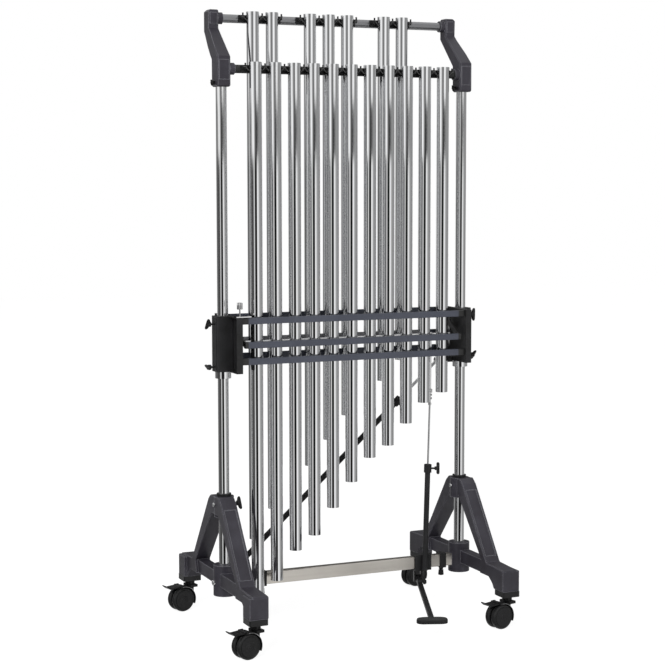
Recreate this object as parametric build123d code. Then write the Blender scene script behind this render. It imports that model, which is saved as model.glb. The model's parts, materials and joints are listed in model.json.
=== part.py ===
from build123d import *
import math
import os

os.makedirs("parts", exist_ok=True)

# Tubular bells: two rows of chrome tubes on a wheeled, height-adjustable frame.
# +X runs to the short, high tubes, -Y is the player's side and +Z is up.
# The two posts stand at Y = 0, and the finished model is moved to its own centre at the end.

# Chime tubes
tube_d = 38.1
tube_wall = 1.5
tube_pitch = 62.0
row_gap = 102.0
front_row_y = -48.0
longest_tube = 1650.0
semitones_per_half_length = 24
cap_height = 10.0
cap_top = 2.0
cap_proud = 0.8
hole_r = 4.0
hole_below_top = 30.0
cord_r = 1.4
natural_steps = [0, 2, 4, 5, 7, 9, 11, 12, 14, 16, 17]
sharp_steps = [1, 3, 6, 8, 10, 13, 15]
sharp_slots = [0.5, 1.5, 3.5, 4.5, 5.5, 7.5, 8.5]
natural_names = ["c1", "d1", "e1", "f1", "g1", "a1", "b1", "c2", "d2", "e2", "f2"]
sharp_names = ["c1_sharp", "d1_sharp", "f1_sharp", "g1_sharp", "a1_sharp", "c2_sharp", "d2_sharp"]
sharp_groups = [(0, 2), (3, 6), (7, 9)]

# Rails that carry the tubes
rail_d = 25.0
front_rail_z = 1681.0
rail_rise = 156.0
top_above_rail = 19.0
strip_t = 3.0
strip_h = 22.0
strip_gap = 1.5
notch_depth = 6.0
hook_r = 2.5
hook_upright = 16.0
rail_collar_r = 17.5
rail_collar_w = 15.0

# Posts and their brackets
post_x = 400.0
post_r = 16.5
post_wall = 2.0
slide_fit = 0.08
post_top = 1700.0
bracket_in = 380.0
bracket_out = 421.0
bracket_narrow = 8.0
bracket_cap = 7.0
bracket_foot_z = 1628.0
bracket_edge = 3.0
pad_edge = 5.0
pad_proud = 1.2
lock_collar_r = 24.5
lock_collar_h = 20.0

# Stands
stand_x = 406.0
leg_w = 50.0
foot_x = 412.0
foot_w = 56.0
foot_out = 322.0
foot_in = 266.0
foot_z = 101.0
foot_top = 168.0
web_w = 34.0
web_z = 132.0
arch_run = 34.0
web_top = 172.0
leg_foot = 216.0
leg_t = 30.0
boss_r = 34.0
boss_top = 195.0
collar_r = 30.0
collar_foot = 342.0
collar_top = 405.0
post_foot = 108.0
bush_h = 8.0
bush_r = 22.0
casting_edge = 2.0

# Casters
stem_y = 296.0
stem_r = 5.5
stem_length = 34.0
stem_fit = 0.08
socket_side = 58.0
socket_h = 17.0
floor_drop = 12.0
wheel_r = 38.0
wheel_w = 19.0
wheel_gap = 3.6
wheel_trail = 34.0
caster_turn = 14.0
axle_r = 4.0
hood_r = 42.0
hood_t = 2.4
hood_from = -24
hood_to = 100
lever_reach = 93.0
lever_w = 34.0
lever_boss_r = 3.8
lever_pin_r = 2.0

# Crossbar and its clamps
bar_h = 38.0
bar_w = 25.0
bar_foot = 122.0
left_clamp_x = -279.0
right_clamp_x = 336.0
clamp_w = 20.0
clamp_t = 4.0

# Diagonal brace
brace_y = 4.0
brace_foot = (-352.0, 190.0)
brace_head = (322.0, 786.0)
brace_tube_r = 8.5
brace_rod_r = 5.0
brace_tube_share = 0.80
brace_rod_in = 240.0
brace_pin_r = 4.0
brace_slack = 2.0
brace_pin_fit = 0.08
brace_eye_half = 4.0

# Damper housings, rails and bars
housing_z = 783.0
housing_top = 950.0
wall_x = 371.0
wall_t = 4.0
flange_w = 19.0
flange_t = 4.0
damper_mid_y = 3.0
damper_reach = 98.0
post_box_x = 427.0
housing_screw_out = 21.0
post_box_half = 24.0
rib_w = 5.0
rib_proud = 1.5
damper_z = 866.0
upper_rail_z = 938.0
lower_rail_z = 817.0
damper_bar_h = 19.0
damper_bar_t = 12.0
damper_bar_y = 83.0
damper_bar_end = 359.0
felt_gap = 0.3
felt_margin = 8.0

# Damper shaft, cranks and lever
shaft_r = 6.0
shaft_fit = 0.08
crank_x = 360.0
crank_t = 5.0
crank_r = 50.0
crank_pin_r = 3.0
arm_x = 354.0
arm_t = 5.0
pin_slack = 0.35
lever_x = 282.0
lever_t = 6.0
lever_r = 33.0
lever_rise = 5.0
lever_pin = 2.5

# Pull rod, pedal tube and pedal
link_x = 275.0
link_t = 5.5
rod_y = -30.0
rod_foot = (262.0, 100.0)
rod_head = (279.5, 700.0)
rod_r = 3.0
rod_end_z = 300.0
link_foot = 706.0
pedal_tube_r = 8.5
pedal_bore_r = 6.9
pedal_tube_foot = 118.0
pedal_tube_top = 455.0
grip_r = 12.0
grip_h = 26.0
pedal_x = 268.0
pedal_y = 30.0
pedal_z = 82.0
pedal_turn = -19.8
pedal_pin_r = 5.0
pedal_reach = 381.0
pedal_link_r = 3.5
pedal_link_fit = 0.4
pedal_eye_t = 7.0
plate_z = 42.0
plate_w = 94.0
plate_d = 40.0
plate_t = 11.0
arm_w = 15.0
pedal_arm_t = 11.0

# Screws
wing_span = 38.0
wing_t = 5.5
wing_boss_r = 6.0
screw_r = 3.0

back_row_y = front_row_y + row_gap
back_rail_z = front_rail_z + rail_rise
tube_r = tube_d / 2
rail_back = tube_r + strip_gap + strip_t + rail_d / 2
front_rail_y = front_row_y + rail_back
back_rail_y = back_row_y + rail_back


def box(x, y, z):
    """A block between two places on each axis, each given as (low, high)."""
    size = [high - low for low, high in (x, y, z)]
    centre = [(high + low) / 2 for low, high in (x, y, z)]
    return Pos(*centre) * Box(*size)


def rod(start, end, radius):
    """A round bar between two points."""
    a = Vector(*start)
    b = Vector(*end)
    span = b - a
    return Plane(origin=a, z_dir=span) * Cylinder(radius, span.length, align=(Align.CENTER, Align.CENTER, Align.MIN))


def ring(start, end, radius, bore):
    """A round sleeve between two points."""
    return rod(start, end, radius) - rod(start, end, bore)


def slab(points, x, radius):
    """An outline in the Y-Z plane, rounded at its corners, as thick as x = (low, high)."""
    outline = Plane.YZ.offset(x[0]) * make_face(FilletPolyline(*points, radius=radius, close=True))
    return extrude(outline, x[1] - x[0], dir=(1, 0, 0))


def side(shape, sign):
    """The shape as built on the right (+1), or mirrored to the left (-1)."""
    return shape if sign > 0 else mirror(shape, about=Plane.YZ)


def solids_of(*shapes):
    """All the solids of some shapes, in one list."""
    return [solid for shape in shapes for solid in shape.solids()]


def wing_screw(tip, head):
    """A wing screw from its tip to its head, with two rounded wings."""
    a = Vector(*tip)
    b = Vector(*head)
    along = (b - a).normalized()
    shaft = rod(a, b, screw_r)
    boss = rod(b - along * 9.0, b + along * 3.0, wing_boss_r)
    blade = extrude(SlotOverall(wing_span, wing_boss_r * 1.6), wing_t / 2, both=True)
    place = Plane(origin=b + along * 1.5, z_dir=along.cross(Vector(0, 0, 1)), x_dir=(0, 0, 1))
    return shaft + boss + place * blade


def tube(x, y, top, steps):
    """A chime tube and its strike cap, hung from its top."""
    length = longest_tube * 2 ** (-steps / semitones_per_half_length)
    wall_top = top - cap_top
    body = ring((x, y, top - length), (x, y, wall_top), tube_r, tube_r - tube_wall)
    hole_z = top - hole_below_top
    body -= rod((x - tube_d, y, hole_z), (x + tube_d, y, hole_z), hole_r)
    cap = rod((x, y, top - cap_height), (x, y, top), tube_r + cap_proud)
    cap -= rod((x, y, top - cap_height - 1), (x, y, wall_top), tube_r)
    return solids_of(body, cap)


def hook(x, row_y, rail_y, rail_z):
    """A hook that reaches forward from the rail to the tubes and turns up."""
    face_y = rail_y - rail_d / 2
    reach = rod((x, face_y + 1.0, rail_z), (x, row_y, rail_z), hook_r)
    upright = rod((x, row_y, rail_z - hook_r), (x, row_y, rail_z + hook_upright), hook_r)
    return reach + upright - rod((x - tube_pitch, rail_y, rail_z), (x + tube_pitch, rail_y, rail_z), rail_d / 2)


def strip(x_low, x_high, rail_y, rail_z, gaps):
    """The black strip on a rail's front, notched between the tubes and bored for the hooks."""
    front = rail_y - rail_d / 2 - strip_t
    body = box((x_low, x_high), (front, front + strip_t + 2.0), (rail_z - strip_h / 2, rail_z + strip_h / 2))
    body -= rod((x_low - 1, rail_y, rail_z), (x_high + 1, rail_y, rail_z), rail_d / 2)
    top = rail_z + strip_h / 2
    for x in gaps:
        if x_low + notch_depth < x < x_high - notch_depth:
            corners = [(x - notch_depth, top + 0.1), (x, top - notch_depth), (x + notch_depth, top + 0.1)]
            notch = make_face(Polyline(*corners, close=True))
            body -= extrude(Plane.XZ.offset(-front - strip_t - 4) * notch, 2 * strip_t + 8)
        body -= rod((x, front - 1, rail_z), (x, rail_y, rail_z), hook_r)
    return body


def cord(x, row_y, rail_z, level):
    """A loop round each hook beside the tube, and the cord between them through the tube."""
    hole_z = rail_z + top_above_rail - hole_below_top
    loop_z = rail_z + hook_r + cord_r + 0.3 + level * (2 * cord_r + 0.4)
    loop_r = hook_r + cord_r
    hooks = (x - tube_pitch / 2, x + tube_pitch / 2)
    edges = (x - tube_r - 1.5, x + tube_r + 1.5)
    line = rod((edges[0], row_y, hole_z), (edges[1], row_y, hole_z), cord_r)
    for hook_x, edge, way in zip(hooks, edges, (1, -1)):
        line += rod((hook_x + way * loop_r, row_y, loop_z), (edge, row_y, hole_z), cord_r)
        line += Pos(edge, row_y, hole_z) * Sphere(cord_r)
    for hook_x in hooks:
        line += rod((hook_x, row_y, loop_z - cord_r), (hook_x, row_y, loop_z + cord_r), loop_r + cord_r / 2)
        line -= rod((hook_x, row_y, loop_z - 3 * cord_r), (hook_x, row_y, loop_z + 3 * cord_r), hook_r + 0.1)
    return line


def hang_row(steps, slots, names, row_y, rail_z):
    """One row of tubes with their cords."""
    made = {}
    cords = []
    for count, (step, slot, name) in enumerate(zip(steps, slots, names)):
        x = (slot - 5) * tube_pitch
        made["tube_" + name] = tube(x, row_y, rail_z + top_above_rail, step)
        cords += solids_of(cord(x, row_y, rail_z, count % 2))
    return made, cords


def build_tubes_and_rails():
    """The two rails with their strips, hooks and cords, and every tube."""
    front, front_cords = hang_row(natural_steps, range(11), natural_names, front_row_y, front_rail_z)
    back, back_cords = hang_row(sharp_steps, sharp_slots, sharp_names, back_row_y, back_rail_z)
    rails = []
    fittings = []
    for row_y, rail_y, rail_z, groups in ((front_row_y, front_rail_y, front_rail_z, [(-0.5, 10.5)]),
                                          (back_row_y, back_rail_y, back_rail_z, sharp_groups)):
        rails.append(rod((-bracket_in, rail_y, rail_z), (bracket_in, rail_y, rail_z), rail_d / 2))
        for low, high in groups:
            places = [(low + k - 5) * tube_pitch for k in range(int(high - low) + 1)]
            fittings.append(strip(places[0] - 6, places[-1] + 6, rail_y, rail_z, places))
            fittings += [hook(x, row_y, rail_y, rail_z) for x in places]
    nodes = {"rails": solids_of(*rails), "rail_hooks": solids_of(*fittings), "tube_cords": front_cords + back_cords}
    nodes.update(front)
    nodes.update(back)
    return nodes


def bracket(sign):
    """The cast bracket on a post's top: clamp block, leaning arm, front pads and two rail sockets."""
    low_y = front_rail_y - rail_collar_r
    back_y = back_rail_y + rail_collar_r + 4
    top_z = back_rail_z + rail_collar_r + 7
    points = [(low_y, bracket_foot_z), (post_r + 7, bracket_foot_z), (post_r + 8, front_rail_z + 27),
              (back_y, back_rail_z - 40), (back_y, top_z), (back_y - 40, top_z),
              (back_y - 38, back_rail_z - 30), (low_y, front_rail_z + 36)]
    body = chamfer_sides(slab(points, (bracket_in, bracket_out), 6.0), bracket_edge)
    narrow = bracket_out - bracket_narrow
    taper = [(bracket_out + 1, front_rail_z + 32), (bracket_out + 1, top_z + 1), (narrow - bracket_cap - 1, top_z + 1),
             (narrow, top_z - bracket_cap), (narrow, back_rail_z - 45)]
    body -= extrude(Plane.XZ * make_face(Polyline(*taper, close=True)), tube_pitch * 3, both=True)
    for right, face_y, z in ((bracket_out, low_y, (front_rail_z - 32, front_rail_z + 26)),
                             (narrow, back_y - 40, (back_rail_z - 18, top_z - 9))):
        pad = box((bracket_in + pad_edge, right - pad_edge), (face_y - pad_proud, face_y + 4), z)
        body += chamfer(pad.faces().sort_by(Axis.Y)[0].edges(), 0.8)
    for rail_y, rail_z in ((front_rail_y, front_rail_z), (back_rail_y, back_rail_z)):
        body += ring((bracket_in - rail_collar_w, rail_y, rail_z), (bracket_in + 1, rail_y, rail_z), rail_collar_r,
                     rail_d / 2)
    body -= rod((post_x, 0, bracket_foot_z - 1), (post_x, 0, post_top), post_r)
    body -= rod((bracket_in - 1, front_rail_y, front_rail_z), (bracket_in, front_rail_y, front_rail_z), rail_d / 2)
    return side(body, sign)


def chamfer_sides(body, amount):
    """Bevel the edges of the two faces that look along X."""
    faces = body.faces().sort_by(Axis.X)
    return chamfer(faces[0].edges() + faces[-1].edges(), amount)


def stand(sign):
    """A cast stand: two splayed legs on feet, a cross web, the post's boss and its clamp collar."""
    shape = None
    for face in (-1, 1):
        outline = [(0, collar_top), (38, collar_top), (56, collar_top - 14), (leg_foot, web_top), (foot_out, foot_top),
                   (foot_out, foot_z), (foot_in, foot_z), (foot_in - 10, foot_z + 14), (foot_in - arch_run, web_z),
                   (leg_foot - leg_t - 10, web_z), (leg_foot - leg_t, web_top), (collar_r, collar_foot + 8),
                   (0, collar_foot + 8)]
        points = [(face * y, z) for y, z in outline]
        radii = [0, 14, 14, 10, 6, 3, 3, 6, 10, 0, 6, 0, 0]
        outline_face = make_face(FilletPolyline(*points, radius=radii, close=True))
        leg = extrude(Plane.YZ.offset(stand_x - leg_w / 2) * outline_face, leg_w, dir=(1, 0, 0))
        leg = chamfer_sides(leg, casting_edge)
        leg -= leg_channel(face)
        foot = box((foot_x - foot_w / 2, foot_x + foot_w / 2), sorted((face * foot_in, face * foot_out)),
                   (foot_z, foot_top - 3))
        foot = chamfer(foot.edges().filter_by(Axis.Z) + foot.faces().sort_by(Axis.Z)[-1].edges(), casting_edge)
        shape = leg + foot if shape is None else shape + leg + foot
    web_y = leg_foot - leg_t
    shape += box((stand_x - web_w / 2, stand_x + web_w / 2), (-web_y, web_y), (web_z, web_top))
    shape += rod((post_x, 0, foot_z), (post_x, 0, boss_top), boss_r)
    shape += rod((post_x, 0, collar_foot), (post_x, 0, collar_top), collar_r)
    shape -= rod((post_x, 0, post_foot), (post_x, 0, collar_top + 1), post_r + slide_fit)
    shape -= knob_hole(sign)
    for face in (-1, 1):
        shape -= rod((foot_x, face * stem_y, foot_z - 1), (foot_x, face * stem_y, foot_z + stem_length),
                     stem_r + stem_fit)
    return side(shape - crossbar_seat(), sign)


def leg_channel(face):
    """The shallow channel between the raised edges of a leg's outer face."""
    a = Vector(stand_x, face * 56, collar_top - 14)
    b = Vector(stand_x, face * leg_foot, web_top)
    middle = (a + b) / 2
    along = (b - a).normalized()
    place = Plane(origin=middle, x_dir=(1, 0, 0), z_dir=Vector(1, 0, 0).cross(along))
    return place * Box(leg_w - 14, (b - a).length - 44, 5.0)


def crossbar_seat():
    """The pocket in a stand's boss that takes the end of the crossbar."""
    return box((stand_x - leg_w, crossbar_end() + 0.2), (-bar_w / 2 - 0.2, bar_w / 2 + 0.2),
               (bar_foot - 0.2, bar_foot + bar_h + 0.2))


def crossbar_end():
    """Where the crossbar stops, just short of the post."""
    return post_x - post_r - 6.0


def knob_z():
    """The height of the screw that clamps a post."""
    return (collar_foot + collar_top) / 2 + 6


def knob_ends(sign):
    """The tip and head of the screw that clamps a post, on the +X side of both stands."""
    z = knob_z()
    return (sign * post_x + post_r + 0.6, 0, z), (sign * post_x + collar_r + 20, 0, z)


def knob_hole(sign):
    """The hole for the clamp screw, in the stand as built on the right."""
    tip, head = knob_ends(sign)
    return rod((sign * tip[0] - sign * 2, 0, tip[2]), (sign * head[0], 0, tip[2]), screw_r + 0.1)


def build_base():
    """The two stands, their bushes and sockets, and the crossbar with its clamps."""
    bushes = [ring((s * post_x, 0, collar_top), (s * post_x, 0, collar_top + bush_h), bush_r, post_r + slide_fit)
              for s in (-1, 1)]
    sockets = []
    for s in (-1, 1):
        for f in (-1, 1):
            x = s * foot_x
            y = f * stem_y
            block = box((x - socket_side / 2, x + socket_side / 2), (y - socket_side / 2, y + socket_side / 2),
                        (foot_z - socket_h, foot_z))
            block = chamfer(block.edges().filter_by(Axis.Z), 4.0)
            sockets.append(block - rod((x, y, 0), (x, y, foot_z + 1), stem_r + stem_fit))
    end = crossbar_end()
    bar = box((-end, end), (-bar_w / 2, bar_w / 2), (bar_foot, bar_foot + bar_h))
    bar = chamfer(bar.edges().filter_by(Axis.X), 2.0)
    bar -= box((-end - 1, end + 1), (-bar_w / 2 + 2, bar_w / 2 - 2), (bar_foot + 2, bar_foot + bar_h - 2))
    return {"stand_left": solids_of(stand(-1)), "stand_right": solids_of(stand(1)), "post_bushes": solids_of(*bushes),
            "caster_sockets": solids_of(*sockets), "crossbar": solids_of(bar)}


def bar_clamp(x, width, thick):
    """A strap round the crossbar."""
    low = bar_foot
    outer = box((x - width / 2, x + width / 2), (-bar_w / 2 - thick, bar_w / 2 + thick),
                (low - thick, low + bar_h + thick))
    return outer - box((x - width, x + width), (-bar_w / 2, bar_w / 2), (low, low + bar_h))


def build_clamps():
    """The two crossbar clamps with their screws, and the lug that carries the brace."""
    pieces = []
    for x in (left_clamp_x, right_clamp_x):
        clamp = bar_clamp(x, clamp_w, clamp_t)
        clamp += rod((x, 0, bar_foot - clamp_t), (x, 0, bar_foot - clamp_t - 7), 7.0)
        clamp -= rod((x, 0, bar_foot), (x, 0, bar_foot - clamp_t - 8), screw_r + 0.1)
        screw = rod((x, 0, bar_foot - 0.4), (x, 0, bar_foot - 22), screw_r)
        screw += rod((x, 0, bar_foot - 14), (x, 0, bar_foot - 30), 8.0)
        pieces += [clamp, screw]
    x, z = brace_foot
    lug = bar_clamp(x, clamp_w, clamp_t)
    top = bar_foot + bar_h + clamp_t
    inner = brace_y - brace_tube_r - 0.5
    for low, high in ((inner - 5, inner), (brace_y + brace_tube_r + 0.5, brace_y + brace_tube_r + 5.5)):
        ear = box((x - clamp_w / 2, x + clamp_w / 2), (low, high), (top - 1, z))
        lug += ear + rod((x, low, z), (x, high, z), clamp_w / 2)
    lug += rod((x, inner - 1, z), (x, brace_y + brace_tube_r + 1, z), brace_pin_r)
    pieces.append(lug)
    return solids_of(*pieces)


def brace_points():
    """The brace's lower pivot, upper pivot and direction."""
    a = Vector(brace_foot[0], brace_y, brace_foot[1])
    b = Vector(brace_head[0], brace_y, brace_head[1])
    return a, b, (b - a).normalized()


def build_brace():
    """The telescopic brace: a lower tube on the crossbar's lug and a rod up to the right housing."""
    a, b, along = brace_points()
    mouth = a + along * (b - a).length * brace_tube_share
    lower = rod(a, mouth, brace_tube_r)
    lower += rod((a.X, a.Y - brace_tube_r, a.Z), (a.X, a.Y + brace_tube_r, a.Z), brace_tube_r + 2)
    lower -= rod(a + along * 60, mouth + along, brace_rod_r + 1.2)
    lower -= rod((a.X, a.Y - 20, a.Z), (a.X, a.Y + 20, a.Z), brace_pin_r + brace_pin_fit)
    cuff = ring(mouth - along * 22, mouth + along * 4, brace_tube_r + 4, brace_rod_r + 1.2)
    cuff -= rod(mouth - along * 40, mouth, brace_tube_r)
    down = along.cross(Vector(0, 1, 0)).normalized()
    down = down if down.Z < 0 else -down
    grip = mouth - along * 9
    screw_tip = grip + down * (brace_rod_r + 1.4)
    screw = rod(screw_tip, grip + down * 40, screw_r) + rod(grip + down * 30, grip + down * 44, 7.0)
    hole = rod(grip + down * (brace_rod_r + 0.5), grip + down * 30, screw_r + 0.1)
    upper = rod(b - along * ((b - a).length * (1 - brace_tube_share) + brace_rod_in), b - along * 9, brace_rod_r)
    eye = rod((b.X, b.Y - brace_eye_half, b.Z), (b.X, b.Y + brace_eye_half, b.Z), 12.0)
    upper = upper + eye - rod((b.X, b.Y - 20, b.Z), (b.X, b.Y + 20, b.Z), brace_pin_r + brace_slack)
    return {"brace_tube": solids_of(lower - hole, cuff - hole, screw), "brace_rod": solids_of(upper)}


def caster_parts():
    """One caster about its stem, rolling towards -X: body, wheel pair and brake lever."""
    axle_z = wheel_r - floor_drop
    half = wheel_gap + wheel_w
    hub_top = foot_z - socket_h
    px, pz = lever_pivot()
    body = rod((0, 0, hub_top - 14), (0, 0, hub_top - 0.3), 15.0)
    body += box((-10, 15), (-half, half), (hub_top - 22, hub_top - 14))
    for low, high in ((-half, -lever_w / 2 - 0.4), (lever_w / 2 + 0.4, half)):
        body += box((px - 3.5, px + 12), (low, high), (pz - 3.5, pz + 3.5))
    for face in (-1, 1):
        body -= rod((-wheel_trail, face * (wheel_gap - 0.4), axle_z), (-wheel_trail, face * (half + 1), axle_z),
                    wheel_r + 1.2)
    web_points = [(-12, hub_top - 2), (14, hub_top - 2), (12, axle_z + 14), (-wheel_trail + 9, axle_z - 12),
                  (-wheel_trail - 9, axle_z - 6), (-wheel_trail - 9, axle_z + 14)]
    web = make_face(FilletPolyline(*web_points, radius=4.0, close=True))
    body += extrude(Plane.XZ * web, wheel_gap - 0.6, both=True)
    body += arc_band(-wheel_trail, axle_z, hood_r, hood_r - hood_t, hood_from, hood_to, half)
    body += rod((0, 0, hub_top - 2), (0, 0, foot_z + stem_length - 4), stem_r)
    body -= rod((-wheel_trail, -half, axle_z), (-wheel_trail, half, axle_z), axle_r + 0.1)
    body -= rod((px, -lever_w / 2 - 0.4, pz), (px, lever_w / 2 + 0.4, pz), lever_boss_r + 0.5)
    body += rod((px, -half + 1, pz), (px, half - 1, pz), lever_pin_r)
    wheels = [rod((-wheel_trail, -half + 2, axle_z), (-wheel_trail, half - 2, axle_z), axle_r)]
    for face in (-1, 1):
        disc = rod((-wheel_trail, face * wheel_gap, axle_z), (-wheel_trail, face * half, axle_z), wheel_r)
        disc = fillet(disc.edges().filter_by(GeomType.CIRCLE), 3.0)
        disc -= rod((-wheel_trail, face * (half - 3), axle_z), (-wheel_trail, face * (half + 1), axle_z), wheel_r - 10)
        disc -= rod((-wheel_trail, -half, axle_z), (-wheel_trail, half, axle_z), axle_r)
        wheels.append(disc)
    tread = [(px - 2, pz - 2), (-lever_reach + 10, pz - 3), (-lever_reach, pz + 5), (-lever_reach + 1, pz + 8),
             (-lever_reach + 12, pz + 1), (px - 2, pz + 3)]
    lever = extrude(Plane.XZ * make_face(Polyline(*tread, close=True)), lever_w / 2, both=True)
    lever += rod((px, -lever_w / 2, pz), (px, lever_w / 2, pz), lever_boss_r)
    lever -= rod((px, -lever_w, pz), (px, lever_w, pz), lever_pin_r + 0.1)
    return body, wheels, lever


def lever_pivot():
    """Where a brake lever turns, above the wheels' outer side (X, Z)."""
    return (-wheel_trail - 9.0, wheel_r - floor_drop + hood_r - 0.5)


def arc_band(cx, cz, outer, inner, from_deg, to_deg, half):
    """Part of a round cover about an axis along Y."""
    band = rod((cx, -half, cz), (cx, half, cz), outer) - rod((cx, -half, cz), (cx, half, cz), inner)
    reach = 2 * outer
    steps = [from_deg + (to_deg - from_deg) * k / 4 for k in range(5)]
    turns = [math.radians(d) for d in steps]
    wedge = [(cx, cz)] + [(cx + reach * math.cos(t), cz + reach * math.sin(t)) for t in turns]
    return band & extrude(Plane.XZ * make_face(Polyline(*wedge, close=True)), half + 1, both=True)


def caster_places():
    """Each caster's name, stem place and turn."""
    return [(f"{end}_{hand}", s * foot_x, f * stem_y) for hand, s in (("left", -1), ("right", 1))
            for end, f in (("front", -1), ("rear", 1))]


def build_casters():
    """Four casters, all turned the same way as in the photograph."""
    body, wheels, lever = caster_parts()
    nodes = {}
    for name, x, y in caster_places():
        place = Pos(x, y, 0) * Rot(0, 0, caster_turn)
        nodes["caster_body_" + name] = solids_of(place * body)
        nodes["caster_wheels_" + name] = solids_of(*[place * w for w in wheels])
        nodes["brake_lever_" + name] = solids_of(place * lever)
    return nodes


def housing(sign):
    """A damper housing: post block, inner wall with front and rear flanges, top and bottom plates."""
    low = damper_mid_y - damper_reach
    high = damper_mid_y + damper_reach
    z = (housing_z, housing_top)
    block = box((wall_x + wall_t - 1, post_box_x), (-post_box_half, post_box_half), z)
    block = chamfer(block.edges().filter_by(Axis.Z), 3.0)
    rib_space = 2 * post_box_half / 5
    for k in range(4):
        y = -post_box_half + rib_space * (k + 1)
        block += box((post_box_x - 1, post_box_x + rib_proud), (y - rib_w / 2, y + rib_w / 2), (z[0] + 6, z[1] - 6))
    wall = box((wall_x, wall_x + wall_t), (low, high), z)
    shape = block + wall
    for y in ((low, low + flange_t), (high - flange_t, high)):
        shape += box((wall_x, wall_x + flange_w), y, z)
    for level in (z[0], z[1] - 3):
        shape += box((wall_x, wall_x + flange_w), (low, high), (level, level + 3))
    shape -= rod((post_x, 0, z[0] - 1), (post_x, 0, z[1] + 1), post_r)
    shape -= rod((wall_x - 1, damper_mid_y, damper_z), (wall_x + wall_t + 6, damper_mid_y, damper_z),
                 shaft_r + shaft_fit)
    for screw_z in housing_screw_heights():
        shape -= rod((post_x + post_r - 1, 0, screw_z), (post_box_x + 5, 0, screw_z), screw_r)
    return side(shape, sign)


def brace_lug():
    """The arm on the right housing that carries the brace's head on a pin."""
    _, b, _ = brace_points()
    near = b.Y - brace_eye_half - 1.5
    far = b.Y + brace_eye_half + 1.5
    lug = box((b.X, wall_x), (near - 5, near), (b.Z - 8, b.Z + 8))
    lug += rod((b.X, near - 5, b.Z), (b.X, near, b.Z), 9.0)
    lug += rod((b.X, near - 1, b.Z), (b.X, far + 3, b.Z), brace_pin_r)
    return lug + rod((b.X, far, b.Z), (b.X, far + 3, b.Z), brace_pin_r + 4)


def housing_screw_heights():
    """The heights of the two wing screws on a housing."""
    return (housing_z + 14, housing_top - 24)


def build_upper_frame():
    """Posts with lock collars, brackets, damper housings, fixed damper rails and the clamp screws."""
    posts = []
    for s in (-1, 1):
        posts.append(ring((s * post_x, 0, post_foot + 0.3), (s * post_x, 0, post_top), post_r, post_r - post_wall))
        collar = ring((s * post_x, 0, housing_z - 0.3 - lock_collar_h), (s * post_x, 0, housing_z - 0.3), lock_collar_r,
                      post_r)
        posts.append(chamfer(collar.edges().filter_by(GeomType.CIRCLE).sort_by(Axis.Z)[-1], 0.8))
    rails = []
    for y in (-damper_bar_y, damper_bar_y):
        mid = damper_mid_y + y
        for z in (upper_rail_z, lower_rail_z):
            rail = box((-wall_x, wall_x), (mid - damper_bar_t / 2, mid + damper_bar_t / 2),
                       (z - damper_bar_h / 2, z + damper_bar_h / 2))
            rails.append(chamfer(rail.edges().filter_by(Axis.X), 1.0))
    screws = []
    for s in (-1, 1):
        for z in housing_screw_heights():
            head_x = post_box_x + housing_screw_out
            screws.append(wing_screw((s * (post_x + post_r + 0.3), 0, z), (s * head_x, 0, z)))
    z = bracket_foot_z + 12
    for s, start, end in ((-1, post_x + post_r, bracket_out + 8), (1, post_x - post_r, bracket_in - 10)):
        screws.append(bracket_screw(s * start, s * end, z))
    plate_y = damper_mid_y - damper_reach
    plate = box((-wall_x - flange_w, -wall_x + 28), (plate_y + 2, plate_y + 26), (housing_top, housing_top + 3))
    thumb_x = -wall_x - 5
    thumb_y = plate_y + 12
    plate -= rod((thumb_x, thumb_y, housing_top - 1), (thumb_x, thumb_y, housing_top + 4), 2.5)
    thumb = rod((thumb_x, thumb_y, housing_top + 0.4), (thumb_x, thumb_y, housing_top + 26), 2.3)
    thumb += rod((thumb_x, thumb_y, housing_top + 24), (thumb_x, thumb_y, housing_top + 43), 8.0)
    return {"posts": solids_of(*posts), "bracket_left": solids_of(bracket(-1) - screw_bore(-1, z)),
            "bracket_right": solids_of(bracket(1) - screw_bore(1, z)), "damper_housing_left": solids_of(housing(-1)),
            "damper_housing_right": solids_of(housing(1), brace_lug()), "damper_rails": solids_of(*rails),
            "clamp_screws": solids_of(*screws), "damper_stop": solids_of(plate, thumb)}


def bracket_screw(start, end, z):
    """The small wing screw in a bracket's clamp block."""
    sign = 1 if end > start else -1
    shaft = rod((start + sign * 0.3, 0, z), (end, 0, z), screw_r)
    wings = extrude(Plane(origin=(end, 0, z), z_dir=(0, 1, 0), x_dir=(0, 0, 1)) * SlotOverall(16, 7), 2, both=True)
    return shaft + wings


def screw_bore(sign, z):
    """The hole for a bracket's small wing screw."""
    if sign < 0:
        return rod((-post_x - post_r + 1, 0, z), (-bracket_out - 1, 0, z), screw_r)
    return rod((post_x - post_r + 1, 0, z), (bracket_in - 1, 0, z), screw_r)


def crank_arm(way):
    """The arm that joins a damper bar to its crank pin: way -1 is the front bar, +1 the rear one."""
    bar = damper_bar_y - damper_bar_t / 2
    pin_z = -way * crank_r
    half = damper_bar_h / 2
    tip = half + 1.5
    outline = [(way * bar, way * half), (way * bar, -way * half), (-way * 9, pin_z - way * tip),
               (-way * 9, pin_z + way * tip)]
    points = [(damper_mid_y + y, damper_z + z) for y, z in outline]
    arm = slab(points, (arm_x, arm_x + arm_t), [0, 0, 3.0, 3.0])
    window = crank_pin_r + pin_slack
    return arm - box((arm_x - 1, arm_x + arm_t + 1), (damper_mid_y - window, damper_mid_y + window),
                     (damper_z + pin_z - window - 1.2, damper_z + pin_z + window + 1.2))


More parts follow.
